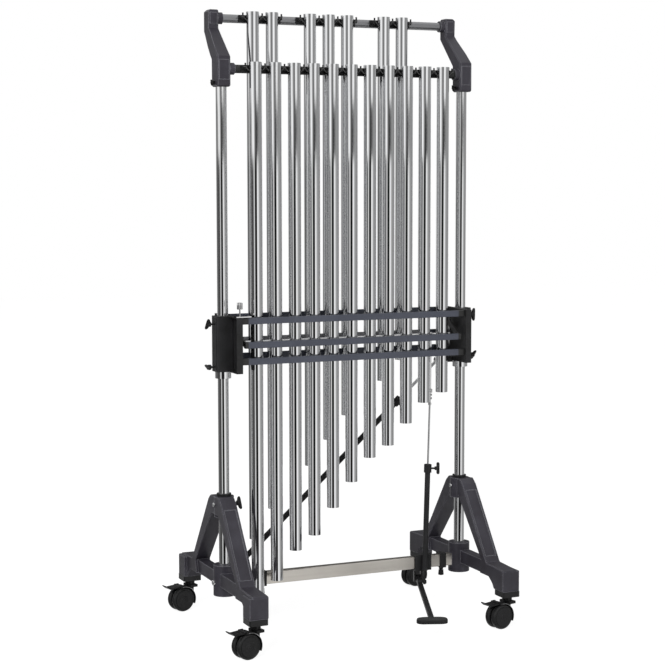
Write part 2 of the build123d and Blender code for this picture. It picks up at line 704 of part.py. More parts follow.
def build_damper_bars():
    """The moving front and rear damper bars with their felts."""
    nodes = {}
    for name, way, row_y in (("front", -1, front_row_y), ("back", 1, back_row_y)):
        mid = damper_mid_y + way * damper_bar_y
        bar = box((-damper_bar_end, damper_bar_end), (mid - damper_bar_t / 2, mid + damper_bar_t / 2),
                  (damper_z - damper_bar_h / 2, damper_z + damper_bar_h / 2))
        bar = chamfer(bar.edges().filter_by(Axis.X), 1.0)
        felt_face = row_y + way * (tube_r + felt_gap)
        felt_back = mid - way * damper_bar_t / 2
        felt_end = 5 * tube_pitch + tube_r + felt_margin if way < 0 else 4.5 * tube_pitch + tube_r + felt_margin
        felt = box((-felt_end, felt_end), sorted((felt_face, felt_back)),
                   (damper_z - damper_bar_h / 2 + 1, damper_z + damper_bar_h / 2 - 1))
        nodes["damper_bar_" + name] = solids_of(bar, side(crank_arm(way), -1), crank_arm(way))
        nodes["damper_felt_" + name] = solids_of(felt)
    return nodes


def build_damper_shaft():
    """The shaft between the rows, with a double crank at each end and the pull rod's lever."""
    end = wall_x + wall_t + 3
    y = damper_mid_y
    z = damper_z
    shaft = rod((-end, y, z), (end, y, z), shaft_r)
    pieces = [shaft]
    for s in (-1, 1):
        crank = slab([(y - 8, z - crank_r - 8), (y + 8, z - crank_r - 8), (y + 11, z), (y + 8, z + crank_r + 8),
                      (y - 8, z + crank_r + 8), (y - 11, z)], (crank_x, crank_x + crank_t), 4.0)
        for pin_z in (z - crank_r, z + crank_r):
            crank += rod((arm_x - 1.5, y, pin_z), (crank_x + 1, y, pin_z), crank_pin_r)
        pieces.append(side(crank, s) - shaft)
    rise = math.radians(lever_rise)
    eye_y = y - lever_r * math.cos(rise)
    eye_z = z + lever_r * math.sin(rise)
    lever = slab([(y + 9, z - 9), (y + 9, z + 9), (eye_y - 7, eye_z + 7), (eye_y - 7, eye_z - 7)],
                 (lever_x, lever_x + lever_t), 4.0)
    lever += rod((lever_x + 1, eye_y, eye_z), (link_x - 1.5, eye_y, eye_z), lever_pin)
    return {"damper_shaft": solids_of(*pieces, lever - shaft)}


def rod_line():
    """The pull rod's line: its foot, head and direction."""
    a = Vector(rod_foot[0], rod_y, rod_foot[1])
    b = Vector(rod_head[0], rod_y, rod_head[1])
    return a, b, (b - a).normalized()


def on_rod_line(z):
    """The point of the pull rod's line at a height."""
    a, _, along = rod_line()
    return a + along * ((z - a.Z) / along.Z)


def build_pull_rod():
    """The thin rod with its nuts and collar, and the link plate up to the lever."""
    head = on_rod_line(link_foot)
    shape = rod(on_rod_line(rod_end_z), head, rod_r)
    link = slab([(rod_y - 5, link_foot - 8), (rod_y + 5, link_foot - 8), (rod_y + 10, damper_z - 60),
                 (rod_y + 8, damper_z + 12), (rod_y - 8, damper_z + 12), (rod_y - 7, damper_z - 60)],
                (link_x, link_x + link_t), 3.5)
    rise = math.radians(lever_rise)
    eye_y = damper_mid_y - lever_r * math.cos(rise)
    eye_z = damper_z + lever_r * math.sin(rise)
    link -= rod((link_x - 1, eye_y, eye_z), (link_x + link_t + 1, eye_y, eye_z), lever_pin + pin_slack)
    for z, radius, tall in ((link_foot - 8, 7.0, 11), (link_foot - 23, 5.5, 6), (link_foot - 34, 5.5, 6), (655, 5.0, 7)):
        shape += rod(on_rod_line(z - tall), on_rod_line(z), radius)
    return {"pull_rod": solids_of(shape + link)}


def pedal_place():
    """The pedal's own frame at its hinge, turned towards the player."""
    return Pos(pedal_x, pedal_y, pedal_z) * Rot(0, 0, pedal_turn)


def in_pedal(point):
    """A point of the model in the pedal's own frame."""
    turn = math.radians(-pedal_turn)
    dx = point.X - pedal_x
    dy = point.Y - pedal_y
    return (dx * math.cos(turn) - dy * math.sin(turn), dx * math.sin(turn) + dy * math.cos(turn), point.Z - pedal_z)


def build_pedal():
    """The pedal's bracket on the crossbar, the pedal, and the tube that carries its pull up."""
    lug_x, lug_y, _ = in_pedal(on_rod_line(pedal_z))
    ear_in = arm_w / 2 + 0.6
    block = bar_clamp(pedal_x - 4, 56, 6)
    top_z = bar_foot - 5.0 - pedal_z
    ears = None
    for s in (-1, 1):
        ear = box(sorted((s * ear_in, s * (ear_in + 5))), (-14, 13), (-4, top_z))
        ear += rod((s * ear_in, 0, 0), (s * (ear_in + 5), 0, 0), 13.0)
        ears = ear if ears is None else ears + ear
    ears += rod((-ear_in - 1, 0, 0), (ear_in + 1, 0, 0), pedal_pin_r)
    ears += box((-ear_in - 5, ear_in + 5), (-26, 13), (top_z - 4, top_z))
    block += pedal_place() * ears
    tube_gap = pedal_tube_r + 1.2
    block -= rod(on_rod_line(40), on_rod_line(260), tube_gap)
    foot = on_rod_line(pedal_tube_foot)
    top = on_rod_line(pedal_tube_top)
    barrel = ring(foot, top, pedal_tube_r, pedal_bore_r)
    half_eye = pedal_eye_t / 2
    eye = box((-half_eye, half_eye), (-6, 6), (0, pedal_tube_foot - pedal_z + 2))
    eye += rod((-half_eye, 0, 0), (half_eye, 0, 0), 8.0)
    eye -= rod((-half_eye - 1, 0, 0), (half_eye + 1, 0, 0), pedal_link_r + pedal_link_fit)
    barrel += pedal_place() * (Pos(lug_x, lug_y, 0) * eye)
    grip = ring(on_rod_line(pedal_tube_top - grip_h + 4), on_rod_line(pedal_tube_top + 4), grip_r, pedal_bore_r)
    grip -= rod(on_rod_line(pedal_tube_top - 60), top, pedal_tube_r)
    knob_at = on_rod_line(pedal_tube_top + 4 - grip_h / 2)
    outward = Vector(math.cos(math.radians(pedal_turn)), math.sin(math.radians(pedal_turn)), 0)
    tip = knob_at + outward * (rod_r + 1.0)
    knob = wing_screw(tip, knob_at + outward * 31)
    grip -= rod(tip, knob_at + outward * 20, screw_r + 0.1)
    barrel -= rod(tip, knob_at + outward * 20, screw_r + 0.1)
    reach_z = plate_z - pedal_z
    slope = math.degrees(math.atan2(-reach_z, pedal_reach))
    bar = Rot(slope, 0, 0) * box((-arm_w / 2, arm_w / 2), (-pedal_reach, 9), (-pedal_arm_t / 2, pedal_arm_t / 2))
    bar += rod((-arm_w / 2, 0, 0), (arm_w / 2, 0, 0), 11.0)
    bar += rod((-arm_w / 2, lug_y, 0), (arm_w / 2, lug_y, 0), 8.0)
    plate = RectangleRounded(plate_w, plate_d, plate_d / 2 - 0.5)
    plate = extrude(Pos(0, -pedal_reach, reach_z - plate_t / 2) * plate, plate_t)
    plate = chamfer(plate.edges().group_by(Axis.Z)[-1], 2.0)
    bar += plate
    bar += rod((0, lug_y, 0), (lug_x + half_eye + 0.6, lug_y, 0), pedal_link_r)
    bar += rod((lug_x + half_eye + 0.6, lug_y, 0), (lug_x + half_eye + 3.0, lug_y, 0), pedal_link_r + 2.5)
    bar -= rod((-arm_w, 0, 0), (arm_w, 0, 0), pedal_pin_r + 0.1)
    return {"pedal_bracket": solids_of(block), "pedal": solids_of(pedal_place() * bar),
            "pedal_tube": solids_of(barrel, grip, knob)}


def build_knobs():
    """The wing screws that clamp the posts in the stands."""
    return {"stand_knob_left": solids_of(wing_screw(*knob_ends(-1))),
            "stand_knob_right": solids_of(wing_screw(*knob_ends(1)))}


def build_all():
    """Every node's solids, in the frame of the posts."""
    nodes = build_base()
    nodes["crossbar_clamps"] = build_clamps()
    for made in (build_casters(), build_knobs(), build_upper_frame(), build_tubes_and_rails(), build_damper_bars(),
                 build_damper_shaft(), build_pull_rod(), build_pedal(), build_brace()):
        nodes.update(made)
    return nodes


def centre_shift(nodes):
    """The move that puts the model's box over the origin, with its lowest point at Z = 0."""
    boxes = [solid.bounding_box() for solids in nodes.values() for solid in solids]
    x = min(b.min.X for b in boxes) + max(b.max.X for b in boxes)
    y = min(b.min.Y for b in boxes) + max(b.max.Y for b in boxes)
    return Vector(-x / 2, -y / 2, -min(b.min.Z for b in boxes))


nodes = build_all()
shift = centre_shift(nodes)
print("moved by", round(shift.X, 4), round(shift.Y, 4), round(shift.Z, 4))
for name, solids in nodes.items():
    moved = [Pos(shift.X, shift.Y, shift.Z) * solid for solid in solids]
    export_step(Compound(children=moved), os.path.join("parts", name + ".step"))
print(len(nodes), "nodes")
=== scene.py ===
# %% [markdown]
# Tubular bells: the looks around a CAD frame.
# Two rows of chrome tubes hang from a wheeled frame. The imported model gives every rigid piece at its
# real size, and this lesson gives each one its finish and adds the pieces whose shape is easier to
# write as a surface: wheels, wing knobs, felts, cords and small hardware.

# %% Load the frame
import json
import math

import bmesh
import bpy
import numpy as np
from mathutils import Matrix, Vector


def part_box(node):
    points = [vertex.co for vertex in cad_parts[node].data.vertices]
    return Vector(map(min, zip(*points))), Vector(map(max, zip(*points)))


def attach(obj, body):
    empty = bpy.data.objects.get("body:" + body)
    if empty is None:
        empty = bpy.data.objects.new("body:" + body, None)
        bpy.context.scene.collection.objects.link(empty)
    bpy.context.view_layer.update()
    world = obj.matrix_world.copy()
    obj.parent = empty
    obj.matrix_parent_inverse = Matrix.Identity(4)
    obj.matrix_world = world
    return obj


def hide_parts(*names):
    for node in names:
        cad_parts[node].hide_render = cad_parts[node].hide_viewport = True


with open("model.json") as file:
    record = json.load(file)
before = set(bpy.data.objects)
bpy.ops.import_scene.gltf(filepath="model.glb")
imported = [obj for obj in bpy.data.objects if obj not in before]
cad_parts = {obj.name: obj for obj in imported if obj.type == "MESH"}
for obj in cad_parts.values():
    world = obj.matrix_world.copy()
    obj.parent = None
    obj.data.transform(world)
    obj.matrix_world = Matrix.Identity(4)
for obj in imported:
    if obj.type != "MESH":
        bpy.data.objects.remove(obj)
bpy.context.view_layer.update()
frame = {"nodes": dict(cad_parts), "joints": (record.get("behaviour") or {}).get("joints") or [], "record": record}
nodes = frame["nodes"]
print("frame", len(nodes), "nodes")

# %% [markdown]
# The camera stands in front and to the left, about five metres away, and looks slightly down.
# Its place comes from lining up the posts, rails and wheels with the photograph.

# %% Camera
PICTURE_WIDTH = 665
SENSOR = 36.0
focal_pixels = 1674.3
camera_place = Vector((-2.055, -4.694, 1.368))
yaw, pitch, roll = math.radians(23.4), math.radians(-5.23), math.radians(0.07)

camera_data = bpy.data.cameras.new("camera")
camera_data.sensor_fit = "HORIZONTAL"
camera_data.sensor_width = SENSOR
camera_data.lens = focal_pixels * SENSOR / PICTURE_WIDTH
camera = bpy.data.objects.new("camera", camera_data)
bpy.context.scene.collection.objects.link(camera)
camera.location = camera_place
camera.rotation_mode = "XYZ"
camera.rotation_euler = (math.pi / 2 + pitch, roll, -yaw)
bpy.context.scene.camera = camera
print("camera lens", round(camera_data.lens, 1), "mm")


# %% [markdown]
# A surface is a grid of points worked out by a formula. One helper turns a grid into a mesh, joining
# each row to its own start and capping both ends, so that every piece below is only a formula.

# %% Grid to mesh
def grid_mesh(name, points):
    """A closed mesh from rows of points: each row is a ring, and the first and last rings are capped."""
    rows, columns = points.shape[:2]
    index = np.arange(rows * columns).reshape(rows, columns)
    top, below = index[:-1], index[1:]
    quads = np.stack([top, np.roll(top, -1, 1), np.roll(below, -1, 1), below], -1)
    faces = quads.reshape(-1, 4).tolist() + [index[0][::-1].tolist(), index[-1].tolist()]
    mesh = bpy.data.meshes.new(name)
    mesh.from_pydata(points.reshape(-1, 3).tolist(), [], faces)
    return mesh


def outward(mesh):
    """Merge doubled points and turn every face outwards."""
    work = bmesh.new()
    work.from_mesh(mesh)
    bmesh.ops.remove_doubles(work, verts=work.verts, dist=1e-6)
    bmesh.ops.recalc_face_normals(work, faces=work.faces)
    work.to_mesh(mesh)
    work.free()
    return mesh


def join_meshes(name, meshes):
    """One mesh from several, each closed and turned outwards."""
    work = bmesh.new()
    for mesh in meshes:
        outward(mesh)
        work.from_mesh(mesh)
        bpy.data.meshes.remove(mesh)
    whole = bpy.data.meshes.new(name)
    work.to_mesh(whole)
    work.free()
    return whole


def piece(name, meshes, material, body, smooth_angle=40.0):
    """A finished piece: one object at the origin, smooth where its faces meet gently."""
    mesh = join_meshes(name, meshes)
    obj = bpy.data.objects.new(name, mesh)
    bpy.context.scene.collection.objects.link(obj)
    mesh.materials.append(material)
    mesh.polygons.foreach_set("use_smooth", np.ones(len(mesh.polygons), bool))
    mesh.set_sharp_from_angle(angle=math.radians(smooth_angle))
    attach(obj, body)
    return obj


# %% [markdown]
# Round pieces such as wheels and screw heads are profiles turned about an axis, and bent round ones
# such as cords are circles carried along a path. Both are one array formula.

# %% Turned and swept surfaces
def axes_about(direction):
    """Three unit vectors, the last along the direction given."""
    along = np.array(direction, float)
    along /= np.linalg.norm(along)
    helper = np.array([0, 0, 1.0]) if abs(along[2]) < 0.9 else np.array([1.0, 0, 0])
    first = np.cross(helper, along)
    first /= np.linalg.norm(first)
    return first, np.cross(along, first), along


def turned(name, centre, direction, profile, steps=48, lobes=0, depth=0.0):
    """Radius and height pairs turned about an axis; radius may ripple by lobes around the turn."""
    first, second, along = axes_about(direction)
    profile = np.array(profile, float)
    angle = np.linspace(0, 2 * math.pi, steps, endpoint=False)
    ripple = 1 + depth * np.cos(lobes * angle)
    radius = profile[:, 0][:, None] * (ripple[None, :] if lobes else 1.0)
    flat = radius[..., None] * (np.cos(angle)[:, None] * first + np.sin(angle)[:, None] * second)
    return grid_mesh(name, np.array(centre) + flat + profile[:, 1][:, None, None] * along)


def swept(name, path, radius, sides):
    """A circle carried along a path of points, kept from twisting by a fixed side vector."""
    path = np.array(path, float)
    tangent = np.gradient(path, axis=0)
    tangent /= np.linalg.norm(tangent, axis=1)[:, None]
    side = np.cross(tangent, (0.03, 1.0, 0.05))
    side /= np.linalg.norm(side, axis=1)[:, None]
    up = np.cross(side, tangent)
    angle = np.linspace(0, 2 * math.pi, sides, endpoint=False)
    ring = np.cos(angle)[None, :, None] * side[:, None] + np.sin(angle)[None, :, None] * up[:, None]
    return grid_mesh(name, path[:, None] + radius * ring)


# %% [markdown]
# Materials are written as maths. A small class stands for one socket, so that `noise * 0.2 + 0.1`
# adds the Math nodes itself, and one method adds any other node.

# %% Sockets as values
class Flow:
    """One output socket; arithmetic on it adds Math nodes."""

    def __init__(self, finish, socket):
        self.finish = finish
        self.socket = socket

    def maths(self, operation, *values):
        return self.finish.add("ShaderNodeMath", {"operation": operation}, dict(enumerate(values)))

    def __add__(self, other):
        return self.maths("ADD", self, other)

    def __sub__(self, other):
        return self.maths("SUBTRACT", self, other)

    def __rsub__(self, other):
        return self.maths("SUBTRACT", other, self)

    def __mul__(self, other):
        return self.maths("MULTIPLY", self, other)

    def step(self, low, high):
        """Zero below low, one above high, smooth between."""
        inputs = {"Value": self, "From Min": low, "From Max": high}
        return self.finish.add("ShaderNodeMapRange", {"interpolation_type": "SMOOTHSTEP"}, inputs)

    __radd__ = __add__


class Finish:
    """A material, or the world, with a short way to add nodes."""

    def __init__(self, name, owner=None):
        self.owner = owner or bpy.data.materials.new(name)
        self.owner.use_nodes = True
        self.tree = self.owner.node_tree
        self.tree.nodes.clear()

    def add(self, kind, settings=None, inputs=None, out=0):
        """A node with its settings made first, then its sockets' values or links."""
        node = self.tree.nodes.new(kind)
        for key, value in (settings or {}).items():
            setattr(node, key, value)
        for key, value in (inputs or {}).items():
            if isinstance(value, Flow):
                self.tree.links.new(value.socket, node.inputs[key])
            else:
                node.inputs[key].default_value = value
        return Flow(self, node.outputs[out]) if node.outputs else None

    def place(self, scale=(1, 1, 1)):
        """The object's own coordinates, stretched."""
        coordinates = self.add("ShaderNodeTexCoord", out="Object")
        return self.add("ShaderNodeMapping", None, {"Vector": coordinates, "Scale": scale})

    def noise(self, scale, detail=3.0, stretch=(1, 1, 1), rough=0.5):
        """Cloudy noise from 0 to 1, so many features to the metre."""
        inputs = {"Vector": self.place(stretch), "Scale": scale, "Detail": detail, "Roughness": rough}
        return self.add("ShaderNodeTexNoise", None, inputs)

    def along(self, vector):
        """The X, Y and Z shares of a vector."""
        split = self.tree.nodes.new("ShaderNodeSeparateXYZ")
        self.tree.links.new(vector.socket, split.inputs[0])
        return [Flow(self, socket) for socket in split.outputs]

    def rays(self):
        """One for a ray from the camera, and one for a mirror ray."""
        path = self.tree.nodes.new("ShaderNodeLightPath")
        return Flow(self, path.outputs["Is Camera Ray"]), Flow(self, path.outputs["Is Glossy Ray"])

    def ramp(self, place, stops):
        """A grey level that runs straight from stop to stop as the place goes from 0 to 1."""
        node = self.tree.nodes.new("ShaderNodeValToRGB")
        elements = node.color_ramp.elements
        for count, (position, level) in enumerate(stops):
            element = elements[count] if count < 2 else elements.new(position)
            element.position, element.color = position, grey(level)
        self.tree.links.new(place.socket, node.inputs[0])
        return Flow(self, node.outputs[0])

    def mix(self, share, one, other):
        """A colour between two, by a share."""
        inputs = {"Factor": share, 6: one, 7: other}
        return self.add("ShaderNodeMix", {"data_type": "RGBA"}, inputs, out=2)

    def bump(self, height, distance, strength):
        """Relief of a height field, in metres."""
        inputs = {"Height": height, "Distance": distance, "Strength": strength}
        return self.add("ShaderNodeBump", None, inputs)

    def surface(self, color, **sockets):
        """The Principled shader at the end of a material."""
        inputs = {"Base Color": color}
        inputs.update({key.replace("_", " "): value for key, value in sockets.items()})
        shader = self.add("ShaderNodeBsdfPrincipled", None, inputs)
        self.finish(shader)
        return self.owner

    def finish(self, shader):
        """Join a shader to the material's output."""
        self.add("ShaderNodeOutputMaterial", None, {"Surface": shader})


def grey(value, tint=(0.0, 0.0, 0.0)):
    """An opaque colour near a grey."""
    return (value + tint[0], value + tint[1], value + tint[2], 1.0)


# %% [markdown]
# Chrome is almost a mirror: what shows on it is the studio. Faint polishing haze keeps it from
# looking computed, so roughness wanders a little and hairlines run along each tube.

# %% Chrome
def chrome(name, color, low=0.035, high=0.12):
    """Polished plate: noise stretched along Z drives the roughness, fine noise the relief."""
    made = Finish(name)
    haze = made.noise(9.0, 4.0, (1, 1, 0.12))
    hair = made.noise(900.0, 2.0, (1, 1, 0.01))
    cloud = made.noise(2.2, 2.0, (1, 1, 0.4))
    rough = haze.step(0.35, 0.8) * (high - low) + low
    tint = made.mix(cloud.step(0.4, 0.75), color, tuple(c * 0.93 for c in color[:3]) + (1.0,))
    return made.surface(tint, Metallic=1.0, Roughness=rough, Normal=made.bump(hair, 0.000003, 0.3))


chrome_tube = chrome("chrome_tube", grey(0.86, (0, 0.005, 0.015)))
chrome_post = chrome("chrome_post", grey(0.82, (0, 0.003, 0.008)), 0.05, 0.14)
bright_steel = chrome("bright_steel", grey(0.72, (0, 0, 0.005)), 0.12, 0.26)


# %% [markdown]
# The castings carry a thick charcoal paint with a fine pebbled skin, lighter grey along every edge (partly
# wear, partly a painted edge highlight), and the pressed and machined parts a plainer black one. All are one
# formula with other numbers. The lighter edge is found by a Bevel node: near an edge its rounded normal turns
# away from the flat one.

# %% Paints and plastics
def painted(name, dark, light, grain=700.0, relief=0.00012, low=0.38, high=0.6,
            black_past=None, worn=None, shine=0.5):
    """Paint: pebbled noise gives relief, slower noise wanders its colour and gloss. Past a distance
    from a middle along X the paint may turn black, and along edges it may turn a lighter grey, partly
    wear and partly a painted edge highlight."""
    made = Finish(name)
    pebble = made.noise(grain, 2.5)
    cloud = made.noise(14.0, 4.0)
    fleck = made.noise(260.0, 3.0)
    color = made.mix(cloud.step(0.3, 0.75) * 0.7 + fleck.step(0.45, 0.7) * 0.3, dark, light)
    if black_past:
        middle_x, reach = black_past
        from_middle = made.along(made.place())[0] - middle_x
        outside = (from_middle * from_middle).step(reach ** 2 - 0.0002, reach ** 2 + 0.0002)
        color = made.mix(outside, color, grey(0.012))
    # Partly wear, partly a painted edge highlight: the colour turns a lighter grey along every edge.
    if worn:
        radius, rim = worn
        rounded = made.add("ShaderNodeBevel", {"samples": 6}, {"Radius": radius})
        flat = made.add("ShaderNodeNewGeometry", out="Normal")
        agree = made.add("ShaderNodeVectorMath", {"operation": "DOT_PRODUCT"},
                         {0: rounded, 1: flat}, out="Value")
        color = made.mix((1 - agree).step(0.01, 0.16) * (0.55 + fleck * 0.45), color, rim)
    rough = fleck * (high - low) + low
    skin = made.bump(pebble, relief, 0.7)
    return made.surface(color, Roughness=rough, Normal=skin, Specular_IOR_Level=shine)


# The castings' lighter edges are partly wear and partly a painted edge highlight.
cast_grey = painted("cast_grey", grey(0.015, (0.002, 0, 0.006)), grey(0.033, (0.002, 0, 0.010)),
                    520.0, 0.00025, worn=(0.0035, grey(0.20, (0, 0, 0.02))))
black_paint = painted("black_paint", grey(0.010), grey(0.020, (0, 0, 0.002)),
                      900.0, 0.00010, 0.36, 0.55, shine=0.3)
slate_bar = painted("slate_bar", grey(0.040, (0, 0.004, 0.020)), grey(0.052, (0, 0.005, 0.024)),
                    1500.0, 0.00003, 0.34, 0.46, black_past=(0.025, 0.3495))
black_plastic = painted("black_plastic", grey(0.007), grey(0.013, (0, 0, 0.001)),
                        1200.0, 0.00006, 0.3, 0.46, shine=0.3)
rubber_black = painted("rubber_black", grey(0.018), grey(0.03), 800.0, 0.0001, 0.6, 0.8)
wheel_grey = painted("wheel_grey", grey(0.008), grey(0.014, (0, 0, 0.001)),
                     1000.0, 0.00004, 0.34, 0.46, shine=0.35)


# %% [markdown]
# The crossbar is brushed along its length, so its noise is stretched along X.
# Felt is a mat of fibres: rough colour, a soft sheen and a fuzzy relief.

# %% Brushed bar, felt and cord
def brushed(name, color):
    """Brushing: noise stretched a hundred times along X drives relief and gloss."""
    made = Finish(name)
    lines = made.noise(420.0, 3.0, (0.01, 1, 1))
    smudge = made.noise(6.0, 3.0)
    darker = tuple(c * 0.8 for c in color[:3]) + (1.0,)
    tint = made.mix(smudge.step(0.3, 0.8) * 0.6 + lines * 0.4, color, darker)
    return made.surface(tint, Metallic=1.0, Roughness=lines * 0.2 + 0.24,
                        Normal=made.bump(lines, 0.00003, 0.5))


def felted(name, dark, light):
    """Felt: two scales of noise mix the fibre colours and raise the nap."""
    made = Finish(name)
    nap = made.noise(1400.0, 5.0, (1, 1, 1), 0.7)
    tuft = made.noise(120.0, 4.0)
    color = made.mix(nap.step(0.3, 0.7) * 0.6 + tuft * 0.4, dark, light)
    return made.surface(color, Roughness=0.95, Normal=made.bump(nap, 0.0004, 0.9), Sheen_Weight=0.4)


def corded(name, dark, light):
    """Braid: fine noise mixes the strand colours, and coarser noise raises the lay."""
    made = Finish(name)
    fibre = made.noise(2600.0, 3.0)
    lay = made.noise(700.0, 1.0)
    color = made.mix(fibre.step(0.35, 0.7), dark, light)
    return made.surface(color, Roughness=0.8, Normal=made.bump(lay, 0.0003, 0.8), Sheen_Weight=0.2)


satin_bar = brushed("satin_bar", (0.70, 0.665, 0.61, 1.0))
felt_grey = felted("felt_grey", grey(0.14, (0, 0, 0.01)), grey(0.30, (0, 0, 0.015)))
cord_black = corded("cord_black", grey(0.02), grey(0.06))

FINISHES = {"chrome_tube": chrome_tube, "chrome_post": chrome_post, "bright_steel": bright_steel,
            "cast_grey": cast_grey, "black_paint": black_paint, "slate_bar": slate_bar,
            "black_plastic": black_plastic, "rubber_black": rubber_black, "wheel_grey": wheel_grey,
            "satin_bar": satin_bar, "felt_grey": felt_grey, "cord_black": cord_black}

# %% [markdown]
# Every rigid node keeps its CAD shape and takes its finish by the slot that the record names.
# The two rails are one node. The rear one is bare dark steel in the photograph and the front one is
# black, so their finish goes by the place along Y.

# %% Dress the CAD nodes
def rail_steel():
    """Black paint in front, and brushed dark steel behind the middle of the two rails."""
    made = Finish("rail_steel")
    rail_low, rail_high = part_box("rails")
    middle_y = (rail_low.y + rail_high.y) / 2
    rear = made.along(made.place())[1].step(middle_y - 0.005, middle_y + 0.005)
    lines = made.noise(420.0, 3.0, (0.01, 1, 1))
    color = made.mix(rear, grey(0.014), grey(0.30, (0, 0.002, 0.012)))
    return made.surface(color, Metallic=rear, Roughness=0.42 - rear * 0.12 + lines * 0.1,
                        Normal=made.bump(lines, 0.00002, 0.5))


for part in frame["record"]["subparts"]:
    mesh = nodes[part["node"]].data
    mesh.materials.clear()
    slot_finish = FINISHES[part["material_slot"]]
    mesh.materials.append(rail_steel() if part["node"] == "rails" else slot_finish)

# %% [markdown]
# The studio is a white room with two tall soft boxes, and the camera stands between them. Each tube
# in the photograph shows them in the same order: a dark grey left third, a bright line, a black line
# that is the camera's own stand, the second soft box and then a grey wall. Rays that rise a little
# find other orders, a middle and a top one. Each order is a row of degrees from the camera's bearing
# and levels of light. The world shows them to mirror rays alone, and lights everything else evenly.
# Two more boxes stand behind, so that the chrome is as lively from the back.

# %% Studio
CAMERA_BEARING = -math.pi / 2 - yaw
LOW_ROOM = ((-100, 0.14), (-70, 0.07), (-42, 0.06), (-35, 0.66), (-21, 0.66), (-14, 0.010),
            (18, 0.010), (26, 0.90), (44, 1.00), (56, 0.50), (80, 0.33), (112, 0.27))
HIGH_ROOM = ((-120, 0.20), (-85, 0.24), (-70, 0.60), (-48, 1.10), (-35, 1.00), (-22, 0.60), (-8, 0.20),
             (4, 0.05), (20, 0.045), (35, 0.10), (60, 0.28), (90, 0.31), (120, 0.34))
TOP_ROOM = ((-120, 0.18), (-100, 0.30), (-75, 0.90), (-45, 1.05), (-28, 0.65), (-14, 0.22), (12, 0.20),
            (20, 0.95), (38, 1.05), (52, 0.70), (64, 0.26), (95, 0.30), (124, 0.36))
BACK_LEFT = ((-180, 0.02), (-172, 0.02), (-165, 0.85), (-142, 0.75), (-131, 0.13))
BACK_RIGHT = ((128, 0.27), (138, 0.62), (150, 0.95), (165, 0.95), (172, 0.02), (180, 0.02))
HIGH_FROM, TOP_FROM, BLEND = 0.0125, 0.045, 0.004
CEILING_FROM, CEILING_FULL, CEILING_LEVEL, EVEN_LEVEL = 0.55, 0.85, 0.9, 0.48


def room_light():
    """The world: white to the camera, banded by bearing to mirrors, even to everything else."""
    made = Finish("room", bpy.context.scene.world or bpy.data.worlds.new("room"))
    bpy.context.scene.world = made.owner
    x, y, z = made.along(made.add("ShaderNodeTexCoord", out="Generated"))
    ahead = x * math.cos(CAMERA_BEARING) + y * math.sin(CAMERA_BEARING)
    beside = y * math.cos(CAMERA_BEARING) - x * math.sin(CAMERA_BEARING)
    turn = beside.maths("ARCTAN2", beside, ahead) * (0.5 / math.pi) + 0.5
    rows = [BACK_LEFT + room + BACK_RIGHT for room in (LOW_ROOM, HIGH_ROOM, TOP_ROOM)]
    low, high, top = [made.ramp(turn, [(0.5 + degrees / 360, level) for degrees, level in row])
                      for row in rows]
    in_high = z.step(HIGH_FROM - BLEND, HIGH_FROM + BLEND)
    in_top = z.step(TOP_FROM - BLEND, TOP_FROM + BLEND)
    walls = low * (1 - in_high) + high * (in_high - in_top) + top * in_top
    ceiling = z.step(CEILING_FROM, CEILING_FULL)
    mirror_level = walls * (1 - ceiling) + ceiling * CEILING_LEVEL
    to_camera, to_mirror = made.rays()
    others = to_mirror * mirror_level + (1 - to_mirror) * EVEN_LEVEL
    strength = to_camera + (1 - to_camera) * others
    color = made.add("ShaderNodeBackground", None, {"Color": (1, 1, 1, 1), "Strength": strength})
    made.add("ShaderNodeOutputWorld", None, {"Surface": color})


def soft_light(name, place, target, size, watts):
    """An area lamp that looks at a point, and that mirrors don't show."""
    data = bpy.data.lights.new(name, "AREA")
    data.shape = "RECTANGLE"
    data.size, data.size_y = size
    data.energy = watts
    lamp = bpy.data.objects.new(name, data)
    bpy.context.scene.collection.objects.link(lamp)
    lamp.location = place
    lamp.visible_glossy = False
    lamp.rotation_euler = (Vector(target) - Vector(place)).to_track_quat("-Z", "Y").to_euler()


FLOOR_GLOW, GLOW_SHARE, FLOOR_REACH = 1.22, 0.72, 14.0


def white_floor():
    """A wide pale floor: white to the camera but for the shadow, and open to mirror rays."""
    made = Finish("floor_paint")
    to_camera, to_mirror = made.rays()
    paint = made.add("ShaderNodeBsdfDiffuse", None, {"Color": grey(0.9)})
    glow = made.add("ShaderNodeEmission", None, {"Color": grey(1.0), "Strength": FLOOR_GLOW})
    seen = made.add("ShaderNodeMixShader", None, {0: to_camera * GLOW_SHARE, 1: paint, 2: glow})
    open_air = made.add("ShaderNodeBsdfTransparent")
    made.finish(made.add("ShaderNodeMixShader", None, {0: to_mirror, 1: seen, 2: open_air}))
    corners = [(x * FLOOR_REACH, y * FLOOR_REACH, 0) for x, y in ((-1, -1), (1, -1), (1, 1), (-1, 1))]
    mesh = bpy.data.meshes.new("floor")
    mesh.from_pydata(corners, [], [(0, 1, 2, 3)])
    mesh.materials.append(made.owner)
    floor = bpy.data.objects.new("floor", mesh)
    bpy.context.scene.collection.objects.link(floor)


room_light()
white_floor()
soft_light("key", (-3.2, -3.4, 3.4), (0, 0, 0.9), (2.0, 2.4), 230.0)
soft_light("fill", (3.0, -3.0, 2.0), (0, 0, 0.9), (1.6, 2.2), 40.0)
bpy.context.scene.view_settings.view_transform = "Standard"

# %% [markdown]
# Each caster has two wheels on one axle. A wheel is a turned profile: a crowned tread, a step where
# the tread ends, a dished disc and a raised hub. The node's own box gives the axle's middle.

# %% Caster wheels
CASTER_TURN = math.radians(14.0)
AXLE_WAY = np.array([-math.sin(CASTER_TURN), math.cos(CASTER_TURN), 0.0])
WHEEL_RADIUS, WHEEL_WIDTH, WHEEL_GAP = 0.038, 0.019, 0.0036


